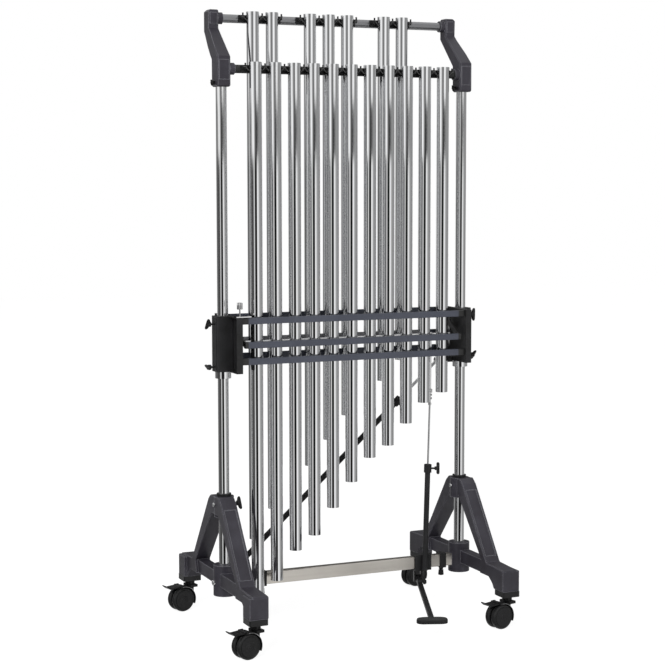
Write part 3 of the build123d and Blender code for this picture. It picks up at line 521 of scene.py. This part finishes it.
def wheel_profile():
    """Radius and distance from the wheel's inner face: tread crown as a power curve, then the disc."""
    crown = np.linspace(0.0, 1.0, 15)
    tread = WHEEL_RADIUS - 0.0035 * np.abs(2 * crown - 1) ** 3.5
    rounded = np.stack([tread, crown * WHEEL_WIDTH], 1)
    inner = [(0.0041, 0.0), (0.030, 0.0), (0.0335, 0.0003)]
    disc = [(0.0325, WHEEL_WIDTH), (0.0318, WHEEL_WIDTH - 0.0008), (0.0300, WHEEL_WIDTH - 0.0016),
            (0.0292, WHEEL_WIDTH - 0.0006), (0.0280, WHEEL_WIDTH - 0.0004), (0.0190, WHEEL_WIDTH - 0.0010),
            (0.0130, WHEEL_WIDTH - 0.0016), (0.0105, WHEEL_WIDTH - 0.0010), (0.0098, WHEEL_WIDTH + 0.0002),
            (0.0060, WHEEL_WIDTH + 0.0008), (0.0041, WHEEL_WIDTH + 0.0008), (0.0041, WHEEL_WIDTH / 2)]
    return np.concatenate([inner, rounded, disc])


CORNERS = ("front_left", "rear_left", "front_right", "rear_right")
for corner in CORNERS:
    low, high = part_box("caster_wheels_" + corner)
    axle_middle = np.array((low + high) / 2)
    meshes = []
    for way in (-1, 1):
        start = axle_middle + AXLE_WAY * way * WHEEL_GAP
        meshes.append(turned("wheel", start, AXLE_WAY * way, wheel_profile(), 64))
    end = WHEEL_GAP + WHEEL_WIDTH + 0.0016
    axle = [(0.0, -end), (0.0034, -end + 0.0004), (0.0039, -end + 0.0012), (0.0039, end - 0.0012),
            (0.0034, end - 0.0004), (0.0, end)]
    meshes.append(turned("axle", axle_middle, AXLE_WAY, axle, 24))
    wheels = piece("wheels_" + corner, meshes, wheel_grey, "wheels_" + corner, 30.0)
    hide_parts("caster_wheels_" + corner)
print("wheels", len(CORNERS))

# %% [markdown]
# The felts are strips of thick wool felt glued behind the moving bars. Each is a long soft pad:
# its section is a rounded box, its face waves slightly, and the tubes press a faint hollow in it.

# %% Damper felts
TUBES_FRONT = ["c1", "d1", "e1", "f1", "g1", "a1", "b1", "c2", "d2", "e2", "f2"]
TUBES_BACK = ["c1_sharp", "d1_sharp", "f1_sharp", "g1_sharp", "a1_sharp", "c2_sharp", "d2_sharp"]
SECTION_POWER, PRESS_WIDTH, PRESS_DEPTH = 0.35, 0.007, 0.0009


def tube_centre(name):
    """The middle of a tube's box."""
    low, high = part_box("tube_" + name)
    return (low + high) / 2


def felt_strip(node, face_way, tubes):
    """A rounded box as a superellipse section along X, hollowed a little beside each tube."""
    low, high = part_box(node)
    along = np.linspace(low.x, high.x, 220)
    angle = np.linspace(0, 2 * math.pi, 40, endpoint=False)
    side = np.sign(np.cos(angle)) * np.abs(np.cos(angle)) ** SECTION_POWER
    rise = np.sign(np.sin(angle)) * np.abs(np.sin(angle)) ** SECTION_POWER
    end = np.minimum(1.0, np.minimum(along - low.x, high.x - along) / 0.002 * 0.3 + 0.7)
    press = sum(np.exp(-((along - tube_centre(t).x) / PRESS_WIDTH) ** 2) for t in tubes) * PRESS_DEPTH
    wave = 0.0002 * np.sin(along * 61.0) + 0.00015 * np.sin(along * 143.0 + 1.0)
    face = np.maximum(side * face_way, 0.0)
    y = (low.y + high.y) / 2 + side[None] * (high.y - low.y) / 2 * end[:, None]
    y = y - face_way * face[None] * (press + np.abs(wave))[:, None]
    z = (low.z + high.z) / 2 + rise[None] * (high.z - low.z) / 2 * end[:, None]
    return grid_mesh(node, np.stack([np.broadcast_to(along[:, None], y.shape), y, z], -1))


for row, way, tubes in (("front", 1, TUBES_FRONT), ("back", -1, TUBES_BACK)):
    node = "damper_felt_" + row
    felt = piece("felt_" + row, [felt_strip(node, way, tubes)], felt_grey, "damper_bar_" + row)
    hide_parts(node)
print("felts 2")

# %% [markdown]
# A cord holds each tube. It loops round the two hooks beside the tube and runs straight through the
# tube's holes, pulled tight by the weight. Every other cord's turns sit a little higher on the hooks.
# Each cord is one round tube along a path, and the braid is in its material.

# %% Tube cords
CORD_RADIUS = 0.0014
HOOK_RADIUS = 0.0025
HALF_PITCH = 0.031
TUBE_RADIUS = 0.01905
HOLE_BELOW_TOP = 0.030
HOOK_BELOW_TOP = 0.019
CORD_TURNS, LOOP_RISE, LOOP_STEP = 1.75, 0.0042, 0.0032


def cord_path(x, y, top, level):
    """Nearly two turns about the left hook, straight through the tube, and the same at the right."""
    hole = top - HOLE_BELOW_TOP
    loop = top - HOOK_BELOW_TOP + LOOP_RISE + level * LOOP_STEP
    wrap = HOOK_RADIUS + CORD_RADIUS * 1.05
    turn = np.linspace(0, 2 * math.pi * CORD_TURNS, 40)
    left = np.stack([x - HALF_PITCH - wrap * np.cos(turn), y + wrap * np.sin(turn),
                     loop + 0.0006 * np.cos(turn)], 1)
    right = left[::-1] * (-1, 1, 1) + (2 * x, 0, 0)
    edge = TUBE_RADIUS + 0.0016
    through = np.array([(x + share * edge, y, hole) for share in (-1, -0.5, 0.5, 1)])
    return np.concatenate([left, through, right])


def smooth_path(path, count):
    """The same route with even steps, eased at its corners by averaging neighbours."""
    for _ in range(2):
        path[1:-1] = (path[:-2] + 2 * path[1:-1] + path[2:]) / 4
    run = np.concatenate([[0], np.cumsum(np.linalg.norm(np.diff(path, axis=0), axis=1))])
    even = np.linspace(0, run[-1], count)
    return np.stack([np.interp(even, run, path[:, k]) for k in range(3)], 1)


cords = []
for row in (TUBES_FRONT, TUBES_BACK):
    for count, name in enumerate(row):
        centre = tube_centre(name)
        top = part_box("tube_" + name)[1].z
        route = smooth_path(cord_path(centre.x, centre.y, top, count % 2), 150)
        cords.append(swept("cord", route, CORD_RADIUS, 8))
held = piece("tube_cord_set", cords, cord_black, "upper_frame")
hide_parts("tube_cords")
print("cords", len(cords))

# %% [markdown]
# A wing knob is moulded: a round boss on a threaded shaft, with two thick rounded wings. The boss and
# the thread are turned, and the wings are one surface, an ellipse carried along a slightly bent line.
# Every knob screws in beside a post, so one helper gives a point beside a post.

# %% Wing knobs
THREAD_PITCH, THREAD_ROOT, THREAD_CREST = 0.0009, 0.0027, 0.0030


def wing_knob(tip, head, wing_way, span=0.0212, boss=0.0078):
    """Boss, threaded shaft and a pair of wings. The wings' line bends by the square of its length."""
    tip, head = np.array(tip, float), np.array(head, float)
    along = (head - tip) / np.linalg.norm(head - tip)
    long = np.linalg.norm(head - tip)
    thread = []
    for k in range(int(long / THREAD_PITCH)):
        thread += [(THREAD_ROOT, k * THREAD_PITCH), (THREAD_CREST, (k + 0.5) * THREAD_PITCH)]
    shaft = turned("shaft", tip, along, [(0.0, 0.0)] + thread + [(0.0, long)], 20)
    body = [(0.0, -0.010), (boss * 0.86, -0.010), (boss, -0.009), (boss * 1.02, -0.002),
            (boss * 0.9, 0.002), (boss * 0.55, 0.0036), (0.0, 0.0040)]
    boss_mesh = turned("boss", head, along, body, 32)
    wing_way = np.array(wing_way, float)
    across = np.cross(along, wing_way)
    t = np.linspace(-1, 1, 33)
    angle = np.linspace(0, 2 * math.pi, 20, endpoint=False)
    lean = 0.0022 * t ** 2 - 0.001
    deep = boss * (0.86 - 0.12 * np.abs(t)) * np.sqrt(np.maximum(1 - np.abs(t) ** 4, 0.0)) + 0.00002
    thick = boss * (0.58 - 0.10 * np.abs(t)) * np.sqrt(np.maximum(1 - np.abs(t) ** 5, 0.0)) + 0.00002
    line = head + span * t[:, None] * wing_way + lean[:, None] * along
    ring = (deep[:, None, None] * np.cos(angle)[None, :, None] * along
            + thick[:, None, None] * np.sin(angle)[None, :, None] * across)
    return [shaft, boss_mesh, grid_mesh("wings", line[:, None] + ring)]


POST_RADIUS, LOCK_COLLAR_RADIUS = 0.0165, 0.0245
posts_low, posts_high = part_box("posts")
post_left = np.array([posts_low.x + LOCK_COLLAR_RADIUS, (posts_low.y + posts_high.y) / 2, 0.0])
post_right = np.array([posts_high.x - LOCK_COLLAR_RADIUS, post_left[1], 0.0])
middle = (post_left + post_right) / 2


def at_post(post, out, z):
    """A point beside a post: out along X, at a height."""
    return post + np.array([out, 0.0, z])


def level_of(node):
    """The height of the middle of a node's box."""
    low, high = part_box(node)
    return (low.z + high.z) / 2


CLEAR = 0.0003
HOUSING_HEAD, HOUSING_LOW_SCREW, HOUSING_HIGH_SCREW, BRACKET_SCREW = 0.048, 0.014, 0.024, 0.012
housing_low, housing_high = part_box("damper_housing_left")
heights = (housing_low.z + HOUSING_LOW_SCREW, housing_high.z - HOUSING_HIGH_SCREW)
bracket_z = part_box("bracket_left")[0].z + BRACKET_SCREW
screws = []
for post, way, tilts in ((post_left, -1, (1.35, -0.7)), (post_right, 1, (-0.8, -0.05))):
    for z, tilt in zip(heights, tilts):
        wing = (0.0, math.sin(tilt), math.cos(tilt))
        tip, head = at_post(post, way * (POST_RADIUS + CLEAR), z), at_post(post, way * HOUSING_HEAD, z)
        screws += wing_knob(tip, head, wing)
for post, end in ((post_left, -0.029), (post_right, -0.030)):
    tip, head = at_post(post, -POST_RADIUS - CLEAR, bracket_z), at_post(post, end, bracket_z)
    screws += wing_knob(tip, head, (0, 0.3, 0.954), 0.0095, 0.0050)
clamps = piece("clamp_screw_set", screws, black_plastic, "upper_frame")
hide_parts("clamp_screws")

STAND_HEAD = 0.050
for name, post in (("left", post_left), ("right", post_right)):
    z = level_of("stand_knob_" + name)
    tip, head = at_post(post, POST_RADIUS + 2 * CLEAR, z), at_post(post, STAND_HEAD, z)
    meshes = wing_knob(tip, head, (0, 0.5, 0.866))
    knob = piece("stand_wing_" + name, meshes, black_plastic, "knob_" + name)
    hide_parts("stand_knob_" + name)
print("wing knobs", 8)

# %% [markdown]
# The pedal's plate carries a rubber pad: an oval with a raised rim and fine ribs across it. It is a
# polar grid, so the rim is a bump in the radius and the ribs a wave in the plate's own length.

# %% Pedal pad
def joint(name):
    """A joint of the frame by its name."""
    return next(j for j in frame["joints"] if j["name"] == name)


PEDAL_REACH, PLATE_TOP = 0.381, 0.0595
hinge = np.array(joint("pedal_press")["pos_m"])
across = np.array(joint("pedal_press")["axis"])
forward = np.array([across[1], -across[0], 0.0])
plate_middle = np.array([*(hinge + forward * PEDAL_REACH)[:2], PLATE_TOP])


def pad_surface(half_long, half_wide, thick):
    """Height over an oval: flat with a rim near the edge, and ribs that fade before the rim."""
    share = np.concatenate([np.linspace(0.02, 0.8, 30), np.linspace(0.82, 1.0, 14), [1.0]])
    angle = np.linspace(0, 2 * math.pi, 120, endpoint=False)
    edge = (np.abs(np.cos(angle) / half_long) ** 3 + np.abs(np.sin(angle) / half_wide) ** 3) ** (-1 / 3)
    u = share[:, None] * edge[None] * np.cos(angle)[None]
    v = share[:, None] * edge[None] * np.sin(angle)[None]
    rim = np.exp(-((share - 0.9) / 0.06) ** 2) * 0.0009
    ribs = 0.00035 * np.cos(u * 2 * math.pi / 0.0052) * np.clip((0.8 - share) / 0.08, 0, 1)[:, None]
    height = thick + rim[:, None] + ribs
    height[-3:] = np.array([thick * 0.8, thick * 0.4, 0.0])[:, None]
    flat = plate_middle + u[..., None] * across + v[..., None] * forward
    flat[..., 2] += height
    return grid_mesh("pad", flat)


piece("pedal_pad", [pad_surface(0.0455, 0.0185, 0.0016)], rubber_black, "pedal", 35.0)

# %% [markdown]
# Screw heads are turned: the stands' socket-head screws have a rolled edge and a round socket, and the
# damper stop's thumb screw has a fine knurl, which is a ripple in the radius.

# %% Screw heads
def socket_head(place, way, radius, height):
    """A screw head: a rolled edge, a flat top and a round socket in it."""
    profile = [(0.0, -0.002), (radius, -0.002), (radius, height * 0.75), (radius * 0.93, height),
               (radius * 0.58, height), (radius * 0.52, height * 0.92), (radius * 0.52, height * 0.35),
               (0.0, height * 0.3)]
    return turned("screw_head", place, way, profile, 36)


LEFT_FACE, COLLAR_REACH, BOSS_REACH, BOSS_BOLT_Z = 0.031, 0.030, 0.034, 0.153
clamp_z = level_of("stand_knob_left")
base_heads = [socket_head(at_post(post_left, -LEFT_FACE, clamp_z), (-1, 0, 0), 0.0065, 0.004),
              socket_head(at_post(post_right, -COLLAR_REACH, clamp_z), (-1, 0, 0), 0.0065, 0.004),
              socket_head(at_post(post_left, -BOSS_REACH, BOSS_BOLT_Z), (-1, 0, 0), 0.0085, 0.005),
              socket_head(at_post(post_right, BOSS_REACH, BOSS_BOLT_Z), (1, 0, 0), 0.0085, 0.005)]
piece("stand_screw_heads", base_heads, bright_steel, "base", 30.0)

stop_low, stop_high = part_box("damper_stop")
thumb = np.array([stop_low.x + 0.014, stop_low.y + 0.010, stop_high.z - 0.019])
knurled = [(0.0, 0.0), (0.0076, 0.0), (0.0083, 0.0010), (0.0083, 0.0180), (0.0076, 0.0194),
           (0.0030, 0.0196), (0.0, 0.0196)]
thumb_head = turned("thumb", thumb, (0, 0, 1), knurled, 144, 36, 0.025)
piece("stop_thumb_head", [thumb_head], bright_steel, "upper_frame", 50.0)
print("screw heads", len(base_heads) + 1)

# %% [markdown]
# Two lobed knobs tighten the crossbar's clamps from below, and one the brace. Each is a tapered side
# with eight soft lobes. The brace's knob stands square to the brace, four fifths of the way up it.

# %% Grip knobs
def lobed_knob(place, way, radius, length, lobes=8, depth=0.05):
    """A grip knob: a tapered, rippled side between two rounded ends."""
    t = np.linspace(0, 1, 14)
    side = radius * (0.80 + 0.20 * t) * (1 - 0.25 * np.abs(2 * t - 1) ** 9)
    end = [(radius * 0.5, length + 0.0008), (0.0, length + 0.0010)]
    return turned("knob", place, way, [(0.0, 0.0)] + list(zip(side, t * length)) + end, 96, lobes, depth)


CLAMP_X, CLAMP_Z = (-0.279, 0.336), 0.1205
under = [lobed_knob(at_post(middle, x, CLAMP_Z), (0, 0, -1), 0.0092, 0.0168) for x in CLAMP_X]
piece("crossbar_knobs", under, black_plastic, "base", 40.0)

UP_SHARE, KNOB_BACK, KNOB_OUT = 0.80, 0.009, 0.029
brace_low, brace_high = np.array([-0.352, 0.202]), np.array([0.322, 0.798])
brace_length = np.linalg.norm(brace_high - brace_low)
lean = (brace_high - brace_low) / brace_length
grip = brace_low + lean * (brace_length * UP_SHARE - KNOB_BACK) + np.array([lean[1], -lean[0]]) * KNOB_OUT
grip_place = middle + np.array([grip[0], 0.004, grip[1]])
brace_knob = lobed_knob(grip_place, (lean[1], 0, -lean[0]), 0.0084, 0.0158)
piece("brace_screw_knob", [brace_knob], black_plastic, "brace_tube", 40.0)
print("grip knobs", len(under) + 1)

# %% [markdown]
# The pull rod is held in its link by two nuts, one against the other. A nut is a turned profile with
# six steps, and it sits on the rod's own line.

# %% Rod nuts
rod_way = -np.array(joint("pull_rod_slide")["axis"])
rod_start = middle + np.array([0.262, -0.030, 0.112])
nut = [(0.0, -0.0001), (0.0058, 0.0), (0.0064, 0.0008), (0.0064, 0.0054), (0.0058, 0.0062), (0.0, 0.0063)]


def on_rod(z):
    """The point of the pull rod's line at a height."""
    return rod_start + rod_way * ((z - rod_start[2]) / rod_way[2])


nuts = [turned("nut", on_rod(z), rod_way, nut, 6) for z in (0.689, 0.678)]
piece("rod_nuts", nuts, bright_steel, "pull_rod", 20.0)
print("nuts", len(nuts))

# %% [markdown]
# A painted highlight runs along both edges of each caster's hood: a thin bright steel tube along an arc
# about the axle, from the stem's side over the top, where the hood's edge catches the light.

# %% Hood edge highlights
HOOD_RADIUS, HIGHLIGHT_BEAD_RADIUS, HOOD_FROM, HOOD_TO = 0.0414, 0.0007, -22.0, 98.0
rolling = np.array([math.cos(CASTER_TURN), math.sin(CASTER_TURN), 0.0])
for corner in CORNERS:
    low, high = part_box("caster_wheels_" + corner)
    axle_middle = np.array((low + high) / 2)
    turn = np.radians(np.linspace(HOOD_FROM, HOOD_TO, 60))
    arc = HOOD_RADIUS * (np.cos(turn)[:, None] * rolling + np.sin(turn)[:, None] * np.array([0, 0, 1.0]))
    reach = WHEEL_GAP + WHEEL_WIDTH
    # Each thin bright tube is a painted highlight along one edge of the hood.
    highlight_beads = [swept("highlight_bead", axle_middle + arc + AXLE_WAY * way * reach, HIGHLIGHT_BEAD_RADIUS, 8) for way in (-1, 1)]
    piece("hood_highlight_bead_" + corner, highlight_beads, bright_steel, "caster_" + corner)
print("hood beads", 2 * len(CORNERS))
